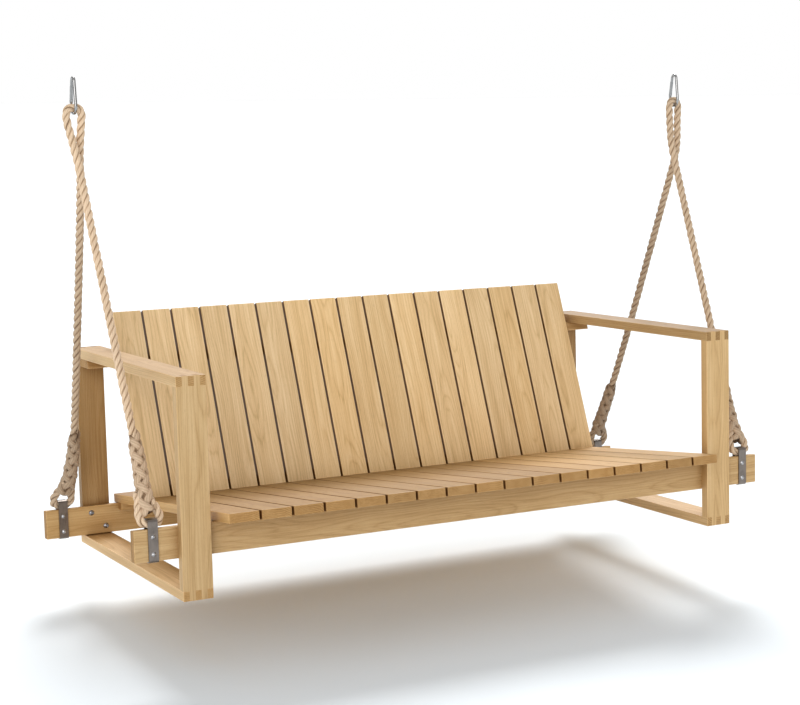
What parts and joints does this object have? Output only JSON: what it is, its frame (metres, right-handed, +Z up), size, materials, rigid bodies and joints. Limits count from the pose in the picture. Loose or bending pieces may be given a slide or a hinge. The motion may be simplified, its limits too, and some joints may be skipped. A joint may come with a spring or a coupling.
{
  "type": "porch swing",
  "caption": "Slatted wooden porch swing bench with finger-jointed side frames, hung from two looped ropes on snap hooks.",
  "frame": {"origin": "midway between the two points where ceiling hooks carry the snap hooks, at the inside of their top bows", "axes": "+X to the right of someone facing the swing, +Y towards its back, +Z up; the bench hangs at rest, leaning back 3 degrees"},
  "size_m": [1.9658, 0.9282, 1.3405],
  "materials": {
    "frame_wood": "oiled, satin",
    "beam_wood": "oiled, satin",
    "seat_wood": "oiled, satin",
    "back_wood": "oiled, satin",
    "batten_wood": "oiled, satin",
    "rope": "three-strand laid rope",
    "splice": "spliced rope",
    "strap_steel": "brushed",
    "fastener_steel": "satin",
    "hook_steel": "polished",
    "gate_steel": "polished"
  },
  "bodies": {
    "hangers": {"snap_hook_left": "hook_steel", "snap_hook_right": "hook_steel", "gate_pins": "fastener_steel"},
    "swing": {"front_post_left": "frame_wood", "front_post_right": "frame_wood", "rear_post_left": "frame_wood", "rear_post_right": "frame_wood", "armrest_left": "frame_wood", "armrest_right": "frame_wood", "bottom_rail_left": "frame_wood", "bottom_rail_right": "frame_wood", "front_beam": "beam_wood", "rear_beam": "beam_wood", "back_rail": "beam_wood", "battens": "batten_wood", "seat_slat_01": "seat_wood", "seat_slat_02": "seat_wood", "seat_slat_03": "seat_wood", "seat_slat_04": "seat_wood", "seat_slat_05": "seat_wood", "seat_slat_06": "seat_wood", "seat_slat_07": "seat_wood", "seat_slat_08": "seat_wood", "seat_slat_09": "seat_wood", "seat_slat_10": "seat_wood", "seat_slat_11": "seat_wood", "seat_slat_12": "seat_wood", "seat_slat_13": "seat_wood", "seat_slat_14": "seat_wood", "seat_slat_15": "seat_wood", "seat_slat_16": "seat_wood", "seat_slat_17": "seat_wood", "back_slat_01": "back_wood", "back_slat_02": "back_wood", "back_slat_03": "back_wood", "back_slat_04": "back_wood", "back_slat_05": "back_wood", "back_slat_06": "back_wood", "back_slat_07": "back_wood", "back_slat_08": "back_wood", "back_slat_09": "back_wood", "back_slat_10": "back_wood", "back_slat_11": "back_wood", "back_slat_12": "back_wood", "back_slat_13": "back_wood", "back_slat_14": "back_wood", "back_slat_15": "back_wood", "back_slat_16": "back_wood", "back_slat_17": "back_wood", "straps_left": "strap_steel", "straps_right": "strap_steel", "frame_bolts": "fastener_steel", "strap_screws": "fastener_steel", "slat_screws": "fastener_steel", "rope_left": "rope", "rope_right": "rope", "eye_splices": "splice"},
    "gate_left": {"snap_gate_left": "gate_steel"},
    "gate_right": {"snap_gate_right": "gate_steel"}
  },
  "joints": [
    {"name": "swing_hinge", "type": "hinge", "parent": "hangers", "child": "swing", "pos_m": [0, 0, -0.069], "axis": [1, 0, 0], "range_deg": [-20, 20]},
    {"name": "gate_hinge_left", "type": "hinge", "parent": "hangers", "child": "gate_left", "pos_m": [-0.9506, 0.01769, -0.05568], "axis": [1, 0, 0], "range_deg": [0, 16], "stiffness_Nm_per_rad": 0.4, "springref_deg": -17.19},
    {"name": "gate_hinge_right", "type": "hinge", "parent": "hangers", "child": "gate_right", "pos_m": [0.9506, 0.01769, -0.05568], "axis": [1, 0, 0], "range_deg": [0, 16], "stiffness_Nm_per_rad": 0.4, "springref_deg": -17.19}
  ]
}
